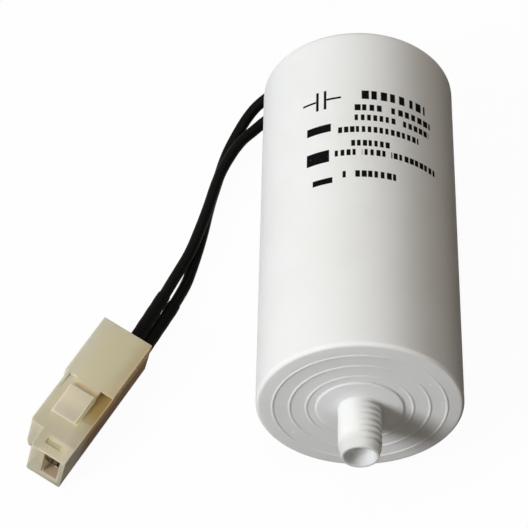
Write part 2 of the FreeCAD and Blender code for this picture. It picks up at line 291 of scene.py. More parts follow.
@dataclass(frozen=True)
class WhiteMoulding:
    """Satin white polypropylene with rows of plain printed marks.

    Each row is cut into equal steps with one mark in each. Marks start and end at shares of a step.
    The bars are (low y, high y, start, end) and the spots (x, z, size, colour): a pale spot on the outer
    rib, and a painted glint, a white speck for light caught on the end face.
    """

    colour: Point = (0.815, 0.83, 0.835)
    shade: Point = (0.795, 0.805, 0.80)
    ink: Point = (0.006, 0.006, 0.007)
    speck: Point = (0.42, 0.40, 0.36)
    # Painted shade: greys the lit left side of the stud's tapered tip, which would otherwise come out
    # brighter than the rest of the case.
    painted_tip_shade: Point = (0.66, 0.67, 0.66)
    tip_shade_y: Pair = (-9.0, -6.8)
    tip_shade_x: Pair = (-2.0, 1.5)
    radius: float = 19.0
    mark_start: float = 0.08
    mark_ends: Pair = (0.6, 0.9)
    soft_mark: float = 0.05
    soft_y: float = 0.06
    soft_turns: Pair = (0.1, 0.15)
    rows: tuple[PrintRow, ...] = (
        PrintRow(60.4, 2.2, -1.5, 39.5, 5.6, ((26.6, 28.2),)),
        PrintRow(57.1, 1.6, -5.5, 43.5, 4.3, ((11.7, 16.0),)),
        PrintRow(54.5, 1.5, -5.5, 42.0, 3.6, ((19.7, 23.3),)),
        PrintRow(51.5, 1.5, -15.0, 34.0, 3.4),
        PrintRow(48.0, 1.5, -7.5, 15.5, 3.3),
        PrintRow(45.7, 1.5, -17.0, 48.0, 3.4, ((-3.4, -1.2), (12.6, 15.8))),
        PrintRow(40.3, 1.6, -12.5, 18.5, 3.6, ((-8.9, -5.3),)),
    )
    bars: tuple[tuple[float, float, float, float], ...] = (
        (59.75, 60.25, -37.0, -28.2), (57.6, 62.4, -28.2, -26.6),
        (57.6, 62.4, -23.4, -21.8), (59.75, 60.25, -21.8, -13.0),
        (51.6, 53.6, -34.0, -19.0), (44.0, 47.0, -34.0, -20.0), (38.6, 40.0, -30.0, -18.0),
    )
    # A pale spot on the outer rib, then a painted glint: a white speck for light caught in the stud's shadow
    # on the end face.
    pale_spot_and_glint: tuple[tuple[float, float, float, Point], ...] = (
        (-11.87, -8.31, 0.4, (0.97, 0.97, 0.96)),
        (12.15, 7.73, 0.3, (1.0, 1.0, 1.0)),
    )

    def row_mask(self, shader: Shader, row: PrintRow, y: Value, turn: Value) -> Value:
        """Marks of one row.

        Args:
            shader: The material being made.
            row: The row.
            y: Place along the case in millimetres.
            turn: Angle round the case in degrees.

        Returns:
            1 on the marks.
        """
        along = (turn - row.start) / row.pitch
        chance = shader.random(along.floor() + row.y)
        shortest, longest = self.mark_ends
        end = chance * (longest - shortest) + shortest
        mark = along.fraction().band(self.mark_start, end, self.soft_mark)
        mask = mark * turn.band(row.start, row.end, self.soft_turns[0])
        mask = mask * y.band(row.y - row.height / 2, row.y + row.height / 2, self.soft_y)
        for low, high in row.gaps:
            mask = mask * (1 - turn.band(low, high, self.soft_turns[0]))
        return mask

    def material(self) -> Material:
        """Makes the material.

        Returns:
            The finished material.
        """
        shader = Shader("white_moulding")
        x, y, z = shader.axes()
        turn = x.angle_from(z) * (180.0 / math.pi)
        outside = (x * x + z * z).above((self.radius - 0.5) ** 2)
        ink = self.row_mask(shader, self.rows[0], y, turn)
        for row in self.rows[1:]:
            ink = ink.larger(self.row_mask(shader, row, y, turn))
        for low, high, start, end in self.bars:
            ink = ink.larger(y.band(low, high, self.soft_y) * turn.band(start, end, self.soft_turns[1]))
        worn = shader.noise(0.35, 2.0).ramp(0.22, 0.34)
        ink = ink * outside * (worn * 0.12 + 0.88)
        cloud = shader.noise(14.0, 2.0)
        specks = shader.noise(0.9, 1.0).ramp(0.80, 0.84)
        # Painted shade on the lit left side of the stud's tip.
        tip = (1 - y.ramp(*self.tip_shade_y)) * (1 - x.ramp(*self.tip_shade_x))
        base = shader.layered(self.colour, (cloud.ramp(0.35, 0.75), self.shade), (specks * 0.35, self.speck),
                              (tip, self.painted_tip_shade))
        # Spots on the end face: a pale spot and a painted glint.
        for spot_x, spot_z, size, tint in self.pale_spot_and_glint:
            gap = ((x - spot_x) * (x - spot_x) + (z - spot_z) * (z - spot_z)) ** 0.5
            spot = 1 - (gap + (shader.noise(0.5, 2.0) - 0.5) * size).ramp(size * 0.5, size)
            base = shader.mix(spot * (1 - y.above(1.0)), base, tint)
        grain = shader.noise(0.12, 2.0) * 0.25 + shader.noise(3.2, 2.0, (1.0, 0.35, 1.0))
        return shader.surface({
            "Base Color": shader.mix(ink, base, self.ink),
            "Roughness": shader.noise(2.0) * 0.16 + 0.36 + ink * 0.12,
            "Specular IOR Level": 0.003,
            "Subsurface Weight": 0.7,
            "Subsurface Radius": (1.0, 0.95, 0.88),
            "Subsurface Scale": 1.4 * MM,
            "Normal": shader.bump(grain, 0.012),
        })


@dataclass(frozen=True)
class BlackVinyl:
    """Black insulation with a soft sheen, or the duller sleeve shrunk over it."""

    name: str
    colour: Point = (0.0042, 0.0041, 0.0036)
    dust: Point = (0.012, 0.012, 0.0115)
    roughness: float = 0.40
    relief: float = 0.02
    grain: float = 1.6

    def material(self) -> Material:
        """Makes the material.

        Returns:
            The finished material.
        """
        shader = Shader(self.name)
        scuff = shader.noise(1.1, 4.0).ramp(0.55, 0.78)
        lumps = shader.noise(self.grain, 3.0) + shader.noise(0.25, 2.0) * 0.3
        return shader.surface({
            "Base Color": shader.mix(scuff * 0.6, self.colour, self.dust),
            "Roughness": shader.noise(0.8) * 0.2 + self.roughness + scuff * 0.15,
            "Specular IOR Level": 0.03,
            "Normal": shader.bump(lumps, self.relief),
        })


@dataclass(frozen=True)
class NaturalNylon:
    """Translucent cream nylon, paler on the catch, with painted light and shade: lighter on the left, darker
    on the right, towards the nose, in the recess beside the catch and in the mouth, and lightened where
    shadows fall beside the catch, on the side face and on the mouth's left wall.

    Each mask is named after the part of the plug that it covers; its numbers are places along the
    plug's axes in millimetres.
    """

    frame: Matrix
    cream: Point = (0.64, 0.59, 0.425)
    # Painted light: paler towards the left, where the light falls and the thin wall glows.
    painted_left_light: Point = (0.63, 0.61, 0.51)
    # Painted shade: a darker copy of the cream towards the nose, which tones down its strongly lit front.
    front: Point = (0.55, 0.51, 0.39)
    catch: Point = (0.76, 0.69, 0.54)
    catch_end: Point = (0.60, 0.555, 0.45)
    # Painted light on the strip beside the catch, which lifts the catch's shadow there.
    flank: Point = (1.0, 0.88, 0.62)
    # Painted shade: brown on the right of the top and in the recess beside the catch, away from the light.
    shade_amber: Point = (0.40, 0.275, 0.105)
    # Painted light: lifts the upper side face, the catch's shadow behind it and the front beside the mouth.
    tan: Point = (0.92, 0.66, 0.38)
    # Painted shade low on the side face away from the light.
    shade_brown: Point = (0.36, 0.18, 0.07)
    # Painted light on the nose end of the side face away from the light.
    pale: Point = (0.82, 0.78, 0.62)
    olive: Point = (0.50, 0.47, 0.27)
    # Painted shade inside the mouth.
    cavity: Point = (0.47, 0.375, 0.275)
    # Painted light on the mouth's left wall.
    wall: Point = (0.98, 0.90, 0.72)
    nose: Point = (0.72, 0.66, 0.50)

    def body(self, shader: Shader, u: Value, v: Value, w: Value, drift: Value) -> Tint:
        """Colour of the housing without its details: painted light on the left, painted shade on the right,
        towards the nose and in the recess, and painted light and shade on the side face.

        Args:
            shader: The material being made.
            u, v, w: Position along the plug's axes in millimetres.
            drift: Soft random pattern.

        Returns:
            The colour.
        """
        wander = (drift - 0.5) * 1.2
        # Painted light towards the left side, and painted shade towards the right side of the top.
        left = 1 - (v + wander).ramp(-0.4, 3.6)
        right = (v + wander).ramp(7.0, 12.0) * (1 - u.ramp(21.5, 26.5))
        # Painted shade in the recess beside the catch and the step.
        shelf = v.band(8.1, 11.0, 0.35) * (u + wander).band(13.6, 21.5, 0.2) * (w + 1.3).ramp(0.0, 0.2)
        corner = (v + wander * 0.4).ramp(7.4, 9.4) * u.above(14.3) * (1 - (u + wander).ramp(17.5, 24.0))
        recess = shelf.larger(corner) * corner.ramp(0.0, 0.3) * (1 - u.ramp(18.0, 22.6) * 0.55)
        rear = 1 - (u + wander).ramp(21.0, 27.5)
        # Painted shade low on the side face and painted light higher up, with paler painted light towards
        # the nose.
        flank = shader.mix(w.ramp(-5.5, -0.2), self.shade_brown, self.tan)
        # Layers: painted light on the left, painted shade towards the nose, on the right and in the recess,
        # then painted light and shade on the side face.
        return shader.layered(
            self.cream, (left, self.painted_left_light), ((u + wander).ramp(21.0, 28.0), self.front),
            (right * 0.5, self.shade_amber), (recess, self.shade_amber),
            (v.ramp(10.45, 10.7), shader.mix(rear, self.pale, flank)),
        )

    def material(self) -> Material:
        """Makes the material, with the catch, nose, window and mouth coloured apart, and painted light and
        shade beside the catch and in the mouth.

        Returns:
            The finished material.
        """
        shader = Shader("natural_nylon")
        u, v, w = shader.axes(self.frame)
        drift = shader.noise(5.0, 2.0)
        raised = w.ramp(0.12, 0.4)
        latch = shader.mix(u.ramp(18.5, 22.6), self.catch, self.catch_end)
        # Painted light that lifts the catch's shadow behind it.
        behind = u.band(14.5, 16.5, 0.15) * v.band(2.9, 8.0, 0.3) * (1 - raised) * w.above(-0.6)
        nose = u.ramp(27.1, 28.0) * v.ramp(3.8, 6.5) * w.ramp(-0.5, -0.25)
        near_window = u.band(28.6, 31.0, 0.8) * v.band(5.0, 8.9, 0.7) * (w + 0.9).ramp(0.0, 0.5)
        window = u.band(28.15, 29.5, 0.15) * v.band(5.2, 8.4, 0.2) * (drift * 0.4 + 0.45)
        # Painted light on the strip beside the catch, over the catch's shadow.
        edge = v.band(7.6, 8.25, 0.06) * u.band(16.3, 23.3, 0.1) * w.above(-0.9)
        # Painted shade inside the mouth, and painted light on its left wall.
        inside = v.band(6.4, 9.8, 0.08) * w.band(-7.4, -0.5, 0.05) * u.band(27.4, 31.05, 0.12)
        # Painted light on the front beside the mouth's left edge.
        beside = v.band(5.7, 7.0, 0.6) * w.band(-4.2, -0.9, 0.5) * u.above(30.6) * (1 - inside)
        return shader.surface({
            "Base Color": shader.layered(
                self.body(shader, u, v, w, drift), (raised, latch), (behind * 0.3, self.tan),
                (nose, self.nose), (near_window * 0.25, self.olive), (window, self.olive),
                (edge, self.flank), (inside, shader.mix(v.ramp(6.5, 7.0), self.wall, self.cavity)),
                (beside * 0.45, self.tan),
            ),
            "Roughness": shader.noise(1.2) * 0.14 + 0.36,
            "Subsurface Weight": 0.7,
            "Subsurface Radius": (0.9, 0.84, 0.68),
            "Subsurface Scale": 1.4 * MM,
            "Specular IOR Level": 0.002,
            "Normal": shader.bump(shader.noise(0.2, 2.0) * 0.3 + shader.noise(2.4, 2.0), 0.015),
        })


@dataclass(frozen=True)
class BareMetal:
    """Metal strip, strand, solder or sprayed face."""

    name: str
    colour: Point
    tarnish: Point
    roughness: float
    grain: float
    relief: float
    stretch: Point = (1.0, 1.0, 1.0)

    def material(self) -> Material:
        """Makes the material.

        Returns:
            The finished material.
        """
        shader = Shader(self.name)
        stain = shader.noise(self.grain * 4.0, 3.0).ramp(0.45, 0.75)
        rough = shader.noise(self.grain, 3.0, self.stretch)
        return shader.surface({
            "Base Color": shader.mix(stain, self.colour, self.tarnish),
            "Metallic": 1.0,
            "Roughness": rough * 0.2 + self.roughness + stain * 0.1,
            "Normal": shader.bump(rough, self.relief),
        })


@dataclass(frozen=True)
class ContactBrass:
    """Dull brass of the contacts, with painted shade on their front rims, in the slit between the folds of
    their mouths and in the opening beside it, and a painted glint below that opening.
    """

    frame: Matrix
    colour: Point = (0.86, 0.68, 0.42)
    tarnish: Point = (0.66, 0.48, 0.27)
    # Painted shade on the contacts' front rims.
    rim: Point = (0.12, 0.085, 0.05)
    # Painted glint below the opening.
    painted_glint: Point = (0.90, 0.82, 0.66)
    # Painted shade in the slit and the opening.
    gap: Point = (0.015, 0.010, 0.006)

    def material(self) -> Material:
        """Makes the material.

        Returns:
            The finished material.
        """
        shader = Shader("contact_brass")
        u, v, w = shader.axes(self.frame)
        stain = shader.noise(1.2, 3.0).ramp(0.45, 0.75)
        rough = shader.noise(0.3, 3.0, (1.0, 6.0, 1.0))
        # Painted shade in the slit between the folds and in the opening beside it, with a painted glint
        # below that opening.
        mouth = u.above(24.0) * w.above(-3.6)
        slit = mouth * v.band(7.75, 8.05, 0.05)
        strip = mouth * v.ramp(8.7, 8.9) * (1 - w.ramp(-3.3, -3.15))
        return shader.surface({
            "Base Color": shader.layered(
                self.colour, (stain, self.tarnish), (u.ramp(30.6, 30.7), self.rim),
                (slit * 0.8, self.gap), (mouth * v.ramp(8.85, 9.05), self.gap), (strip, self.painted_glint),
            ),
            "Metallic": 1.0,
            "Roughness": rough * 0.2 + 0.3 + stain * 0.1,
            "Normal": shader.bump(rough, 0.01),
        })


@dataclass(frozen=True)
class CastResin:
    """Poured epoxy with a few bubbles and a slightly cloudy surface."""

    colour: Point = (0.62, 0.60, 0.52)
    cloud: Point = (0.50, 0.47, 0.38)
    bubble: Point = (0.2, 0.18, 0.13)

    def material(self) -> Material:
        """Makes the material.

        Returns:
            The finished material.
        """
        shader = Shader("cast_resin")
        colour = shader.mix(shader.noise(4.0, 3.0).ramp(0.35, 0.7), self.colour, self.cloud)
        bubbles = 1 - shader.cells(1.7).ramp(0.06, 0.16)
        height = shader.noise(2.8, 2.0) - bubbles * 0.8
        return shader.surface({
            "Base Color": shader.mix(bubbles * 0.5, colour, self.bubble),
            "Roughness": shader.noise(1.5) * 0.15 + 0.2,
            "Subsurface Weight": 0.1,
            "Subsurface Scale": 0.8 * MM,
            "Normal": shader.bump(height, 0.06),
        })


@dataclass(frozen=True)
class WoundFilm:
    """Metallised film, with the edges of its turns showing as fine rings."""

    colour: Point = (0.50, 0.51, 0.53)
    seam: Point = (0.30, 0.31, 0.33)

    def material(self) -> Material:
        """Makes the material.

        Returns:
            The finished material.
        """
        shader = Shader("wound_film")
        x, y, z = shader.axes()
        reach = (x * x + z * z) ** 0.5
        rings = (reach * 24.0).sine() * 0.5 + 0.5
        bands = (y * 9.0 + shader.noise(3.0) * 4.0).sine() * 0.5 + 0.5
        return shader.surface({
            "Base Color": shader.mix(rings * 0.5 + bands * 0.2, self.colour, self.seam),
            "Metallic": 0.6,
            "Roughness": bands * 0.1 + 0.34,
            "Normal": shader.bump(rings + bands * 0.4, 0.02),
        })


@dataclass(frozen=True)
class PlainTube:
    """Plain extruded plastic of the winding's core."""

    colour: Point = (0.60, 0.58, 0.52)
    drawn: Point = (0.52, 0.50, 0.43)

    def material(self) -> Material:
        """Makes the material.

        Returns:
            The finished material.
        """
        shader = Shader("core_tube")
        lines = shader.noise(0.5, 3.0, (1.0, 0.03, 1.0))
        return shader.surface({
            "Base Color": shader.mix(lines.ramp(0.35, 0.7), self.colour, self.drawn),
            "Roughness": lines * 0.2 + 0.4,
            "Normal": shader.bump(lines, 0.02),
        })


@dataclass(frozen=True)
class PaleGround:
    """Plain white table that keeps the object's shadow."""

    colour: Point = (0.86, 0.86, 0.86)
    bounce: Point = (0.09, 0.07, 0.055)
    whiteness: float = 0.965

    def material(self) -> Material:
        """Makes the material.

        Returns:
            The finished material.
        """
        shader = Shader("pale_ground")
        seen = shader.seen_directly()
        tint = shader.mix(seen, self.bounce, self.colour)
        cloth = shader.node("ShaderNodeBsdfDiffuse", {}, {"Color": tint})
        white = shader.node("ShaderNodeEmission", {}, {"Color": (1.0, 1.0, 1.0, 1.0), "Strength": 1.0})
        mixed = shader.node("ShaderNodeMixShader", {}, {
            0: seen * self.whiteness, 1: cloth.outputs[0], 2: white.outputs[0],
        })
        shader.node("ShaderNodeOutputMaterial", {}, {"Surface": mixed.outputs[0]})
        return shader.owner


def smooth_step(share: float) -> float:
    """Smooth rise from 0 to 1 as the share goes from 0 to 1, and flat outside that."""
    share = min(1.0, max(0.0, share))
    return share * share * (3 - 2 * share)


def rounded_profile(
    corners: Sequence[Point], steps: int = 6, guard: float = 0.12, long_run: float = 0.8,
) -> list[Pair]:
    """Outline with its corners rounded.

    Args:
        corners: (radius, y, fillet) of each corner, in order.
        steps: Facets of each fillet.
        guard: Distance of the guard points from a run's ends.
        long_run: Length above which a run has them.

    Returns:
        The outline's points, with a guard point near each end of a long straight run, so that the
        shading of flats stays flat.
    """
    points = [Vector((radius, y)) for radius, y, _ in corners]
    outline: list[Vector] = []
    for index, point in enumerate(points):
        fillet = corners[index][2]
        if not fillet:
            outline.append(point)
            continue
        before = (points[index - 1] - point).normalized()
        after = (points[index + 1] - point).normalized()
        half = before.angle(after) / 2
        centre = point + (before + after).normalized() * (fillet / math.sin(half))
        start = point + before * (fillet / math.tan(half))
        end = point + after * (fillet / math.tan(half))
        for step in range(steps + 1):
            blend = start.lerp(end, step / steps) - centre
            outline.append(centre + blend.normalized() * fillet)
    guarded: list[Pair] = []
    for here, there in zip(outline, outline[1:]):
        guarded.append(tuple(here))
        length = (there - here).length
        if length > long_run:
            guarded.append(tuple(here.lerp(there, guard / length)))
            guarded.append(tuple(there.lerp(here, guard / length)))
    guarded.append(tuple(outline[-1]))
    return guarded


def ring_faces(first: int, rings: int, segments: int) -> Faces:
    """Faces between rings of vertices.

    Args:
        first: Number of the first ring's first vertex.
        rings: How many rings follow one another.
        segments: Vertices in each ring.

    Returns:
        Four-sided faces from each ring to the next.
    """
    faces: Faces = []
    for low in range(first, first + (rings - 1) * segments, segments):
        for index in range(segments):
            after = (index + 1) % segments
            faces.append((low + index, low + segments + index, low + segments + after, low + after))
    return faces


def turned_mesh(
    outline: Sequence[Pair], segments: int, shape: Callable[[float, float, float], Pair],
    closed: bool = True,
) -> Mesh:
    """Surface of revolution about Y.

    Args:
        outline: (radius, y) points; the first lies on the axis, and the last too if closed.
        segments: Facets round the axis.
        shape: Gives the radius and y of a point from its (radius, y, angle in radians).
        closed: Whether the surface ends on the axis.

    Returns:
        Vertices in millimetres, and faces.
    """
    rings = outline[1:-1] if closed else outline[1:]
    vertices: list[Point] = [(0.0, outline[0][1], 0.0)]
    for radius, y in rings:
        for index in range(segments):
            turn = 2 * math.pi * index / segments
            reach, along = shape(radius, y, turn)
            vertices.append((reach * math.sin(turn), along, reach * math.cos(turn)))
    last = len(vertices) - segments
    faces = ring_faces(1, len(rings), segments)
    faces += [(0, 1 + index, 1 + (index + 1) % segments) for index in range(segments)]
    if closed:
        vertices.append((0.0, outline[-1][1], 0.0))
        pole = last + segments
        faces += [(pole, last + (index + 1) % segments, last + index) for index in range(segments)]
    return vertices, faces


def swept_mesh(centres: Sequence[Vector], radii: Sequence[float], segments: int) -> Mesh:
    """Tube along a line of points.

    Args:
        centres: Points of the line, in metres.
        radii: Radius at each point in metres.
        segments: Facets round it.

    Returns:
        Vertices in millimetres, and faces, with both ends closed.
    """
    side = (centres[1] - centres[0]).cross(Vector((0.0, 0.0, 1.0))).normalized()
    vertices: list[Point] = []
    for index, centre in enumerate(centres):
        ahead = centres[min(index + 1, len(centres) - 1)] - centres[max(index - 1, 0)]
        ahead.normalize()
        side = (side - ahead * side.dot(ahead)).normalized()
        up = side.cross(ahead)
        for step in range(segments):
            turn = 2 * math.pi * step / segments
            place = centre + (side * math.cos(turn) + up * math.sin(turn)) * radii[index]
            vertices.append(tuple(place / MM))
    ends = [tuple(range(segments)), tuple(range(len(vertices) - segments, len(vertices)))]
    return vertices, ring_faces(0, len(centres), segments) + ends


def add_object(name: str, data: bpy.types.ID) -> Thing:
    """Puts an object into the scene.

    Args:
        name: Its name.
        data: Its mesh, curve, lamp or camera.

    Returns:
        The object.
    """
    made = bpy.data.objects.new(name, data)
    bpy.context.scene.collection.objects.link(made)
    return made


def add_mesh(name: str, vertices: Sequence[Sequence[float]], faces: Faces) -> Thing:
    """Puts a mesh into the scene, with its normals pointing outwards.

    Args:
        name: Its name.
        vertices: Places of its vertices.
        faces: Numbers of the vertices of each face.

    Returns:
        The object.
    """
    data = bpy.data.meshes.new(name)
    data.from_pydata(vertices, [], faces)
    bm = bmesh.new()
    bm.from_mesh(data)
    bmesh.ops.recalc_face_normals(bm, faces=bm.faces)
    bm.to_mesh(data)
    bm.free()
    return add_object(name, data)


def apply_modifiers(body: Thing) -> None:
    """Puts the result of a mesh's modifiers in its place.

    Args:
        body: The object, whose modifiers are used up.
    """
    depsgraph = bpy.context.evaluated_depsgraph_get()
    made = bpy.data.meshes.new_from_object(body.evaluated_get(depsgraph))
    body.modifiers.clear()
    body.data = made


def add_piece(
    name: str,
    mesh: Mesh,
    material: Material,
    nodes: Sequence[str] = (),
    sharp: float = 38.0,
) -> Thing:
    """Makes a piece of the object.

    Args:
        name: Its name.
        mesh: Vertices in millimetres, and faces.
        material: Its material.
        nodes: CAD nodes that it stands for.
        sharp: Angle in degrees above which an edge is sharp.

    Returns:
        The object, riding on the root.
    """
    vertices, faces = mesh
    piece = add_mesh(name, [tuple(part * MM for part in vertex) for vertex in vertices], faces)
    piece.data.shade_smooth()
    piece.data.set_sharp_from_angle(angle=math.radians(sharp))
    piece.data.materials.append(material)
    return mount_piece(piece, nodes)


def mount_piece(piece: Thing, nodes: Sequence[str]) -> Thing:
    """Ties a piece to the root and the CAD nodes that it stands for.

    Args:
        piece: The piece.
        nodes: CAD nodes that it stands for.

    Returns:
        The same piece.
    """
    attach(piece, "root")
    if nodes:
        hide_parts(*nodes)
    LOG.info("piece %s stands for %s", piece.name, ", ".join(nodes) or "nothing")
    return piece


def dress_node(node: str, material: Material) -> None:
    """Gives a carried-over CAD node its material.

    Args:
        node: The node's name.
        material: The material.
    """
    piece = frame["nodes"][node]
    piece.data.materials.clear()
    piece.data.materials.append(material)
    LOG.info("node %s dressed with %s", node, material.name)


def spline_curve(name: str, points: Sequence[Vector], radius: float) -> Thing:
    """Smooth curve on control points.

    Args:
        name: Its name.
        points: Control points in metres.
        radius: Radius of its round section, in metres; 0 for a bare line.

    Returns:
        The curve object.
    """
    data = bpy.data.curves.new(name, "CURVE")
    data.dimensions = "3D"
    data.resolution_u = 12
    data.bevel_depth = radius
    data.bevel_resolution = 6
    data.use_fill_caps = radius > 0
    spline = data.splines.new("NURBS")
    spline.points.add(len(points) - 1)
    for target, point in zip(spline.points, points):
        target.co = (*point, 1.0)
    spline.order_u = 3
    spline.use_endpoint_u = True
    return add_object(name, data)


def spline_line(points: Sequence[Vector]) -> list[Vector]:
    """Smooth line on control points, as Blender draws it.

    Args:
        points: Control points in metres.

    Returns:
        The line's points in metres.
    """
    curve = spline_curve("guide", points, 0.0)
    depsgraph = bpy.context.evaluated_depsgraph_get()
    mesh = bpy.data.meshes.new_from_object(curve.evaluated_get(depsgraph))
    line = [vertex.co.copy() for vertex in mesh.vertices]
    bpy.data.meshes.remove(mesh)
    bpy.data.objects.remove(curve)
    return line


@dataclass(frozen=True)
class Lamp:
    """Square lamp: the way to it, its distance and width in millimetres, its power in watts."""

    name: str
    direction: Point
    distance: float
    power: float
    size: float
    colour: Point


@dataclass
class Studio:
    """Camera, lamps, table and surroundings."""

    eye: Point = (-20.15, -237.33, 335.38)
    right: Point = (0.99953, 0.02066, 0.02280)
    up: Point = (-0.03040, 0.77801, 0.62752)
    focal_pixels: float = 2258.3
    image_width: float = 528.0
    table_z: float = -19.0
    table_reach: float = 3000.0
    table_gap: float = 0.02
    aim: Point = (0.0, 30.0, 0.0)
    ambient: Point = (0.014, 0.012, 0.010)
    lamps: tuple[Lamp, ...] = (
        Lamp("key_lamp", (-0.725, -0.50, 0.473), 2200.0, 41.2, 760.0, (0.98, 0.995, 1.0)),
        Lamp("front_lamp", (0.10, -0.985, 0.12), 900.0, 1.18, 550.0, (1.0, 0.94, 0.87)),
        Lamp("top_lamp", (-0.26, 0.10, 0.96), 900.0, 2.3, 550.0, (0.98, 0.995, 1.0)),
        Lamp("warm_lamp", (0.06, 0.08, 0.995), 900.0, 1.58, 550.0, (1.0, 0.85, 0.66)),
    )

    def build(self) -> None:
        """Makes everything in the studio."""
        self.add_camera()
        for lamp in self.lamps:
            self.add_lamp(lamp)
        self.add_table()
        self.add_world()
        bpy.context.scene.view_settings.view_transform = "Standard"

    def add_camera(self) -> None:
        """Camera at the photograph's viewing angle."""
        data = bpy.data.cameras.new("camera")
        data.sensor_width = 36.0
        data.lens = self.focal_pixels / self.image_width * data.sensor_width
        data.clip_start = 0.01
        data.clip_end = 20.0
        camera = add_object("camera", data)
        right = Vector(self.right).normalized()
        up = Vector(self.up)
        back = right.cross(up).normalized()
        up = back.cross(right)
        turn = Matrix((right, up, back)).transposed()
        camera.matrix_world = Matrix.Translation(Vector(self.eye) * MM) @ turn.to_4x4()
        bpy.context.scene.camera = camera

    def add_lamp(self, lamp: Lamp) -> None:
        """Adds a lamp aimed at the middle of the case.

        Args:
            lamp: The lamp.
        """
        data = bpy.data.lights.new(lamp.name, "AREA")
        data.energy = lamp.power
        data.size = lamp.size * MM
        data.color = lamp.colour
        place = Vector(lamp.direction) * lamp.distance
        made = add_object(lamp.name, data)
        made.location = (Vector(self.aim) + place) * MM
        made.rotation_euler = place.to_track_quat("Z", "Y").to_euler()

    def add_table(self) -> None:
        """Wide pale table under the object."""
        reach = self.table_reach * MM
        level = (self.table_z - self.table_gap) * MM
        data = bpy.data.meshes.new("table")
        corners = [(-reach, -reach), (reach, -reach), (reach, reach), (-reach, reach)]
        data.from_pydata([(x, y, level) for x, y in corners], [], [(0, 1, 2, 3)])
        data.materials.append(PaleGround().material())
        add_object("table", data)

    def add_world(self) -> None:
        """White surroundings, with a dim warm light from all sides."""
        world = bpy.data.worlds.new("surroundings")
        bpy.context.scene.world = world
        shader = Shader("surroundings", world)
        colour = shader.mix(shader.seen_directly(), self.ambient, (1.0, 1.0, 1.0))
        ground = shader.node("ShaderNodeBackground", {}, {"Color": colour, "Strength": 1.0})
        shader.node("ShaderNodeOutputWorld", {}, {"Surface": ground.outputs[0]})


@dataclass(frozen=True)
class Lead:
    """One free lead, from the resin to its sleeve, on the CAD route's points or nearly.

    overlap is how far up the lead its sleeve reaches; outer and inner are its places (v, w) across
    the plug, at the plug's rear face and at its contact.
    """

    name: str
    length: float
    overlap: float
    outer: Pair
    inner: Pair
    route: tuple[Point, ...]
    diameter: float = 2.2
    skin: float = 0.05

    def points(self) -> list[Vector]:
        """The route's control points in metres."""
        return [Vector(point) * MM for point in self.route]

    def build(self, finish: Material) -> None:
        """Args:
            finish: Material of its insulation.
        """
        curve = spline_curve(f"lead_{self.name}_wire", self.points(), (self.diameter / 2 + self.skin) * MM)
        curve.data.materials.append(finish)
        mount_piece(curve, [f"lead_{self.name}"])


LEADS = (
    Lead("a", 89.9, 4.0, (9.0, -5.45), (8.1, -5.65), (
        (0.0, 74.35, 0.0), (0.0, 79.95, 0.0), (-4.0, 84.85, -2.3), (-10.2, 87.75, -6.2),
        (-15.6, 88.55, -9.8), (-19.9, 87.05, -13.0), (-22.2, 84.85, -14.8), (-24.2, 81.45, -16.2),
        (-26.6, 75.95, -17.5), (-27.95, 69.65, -17.85), (-29.55, 62.2, -17.85), (-30.65, 54.2, -17.85),
        (-32.4, 45.5, -17.7), (-33.75, 40.2, -17.64), (-36.7, 32.9, -16.5),
    )),
    Lead("b", 75.1, 0.0, (6.8, -3.55), (8.1, -2.45), (
        (-3.0, 74.35, -8.0), (-3.0, 78.55, -8.0), (-5.4, 82.35, -9.5), (-9.4, 85.15, -11.2),
        (-14.2, 85.55, -12.8), (-18.0, 83.85, -14.2), (-20.8, 80.95, -14.8), (-23.8, 77.75, -15.0),
        (-26.9, 71.05, -15.25), (-28.3, 66.35, -15.4), (-29.5, 60.55, -15.45), (-31.05, 54.35, -15.45),
        (-32.85, 47.8, -15.4), (-35.45, 41.8, -15.38), (-37.4, 36.45, -14.6),
    )),
)


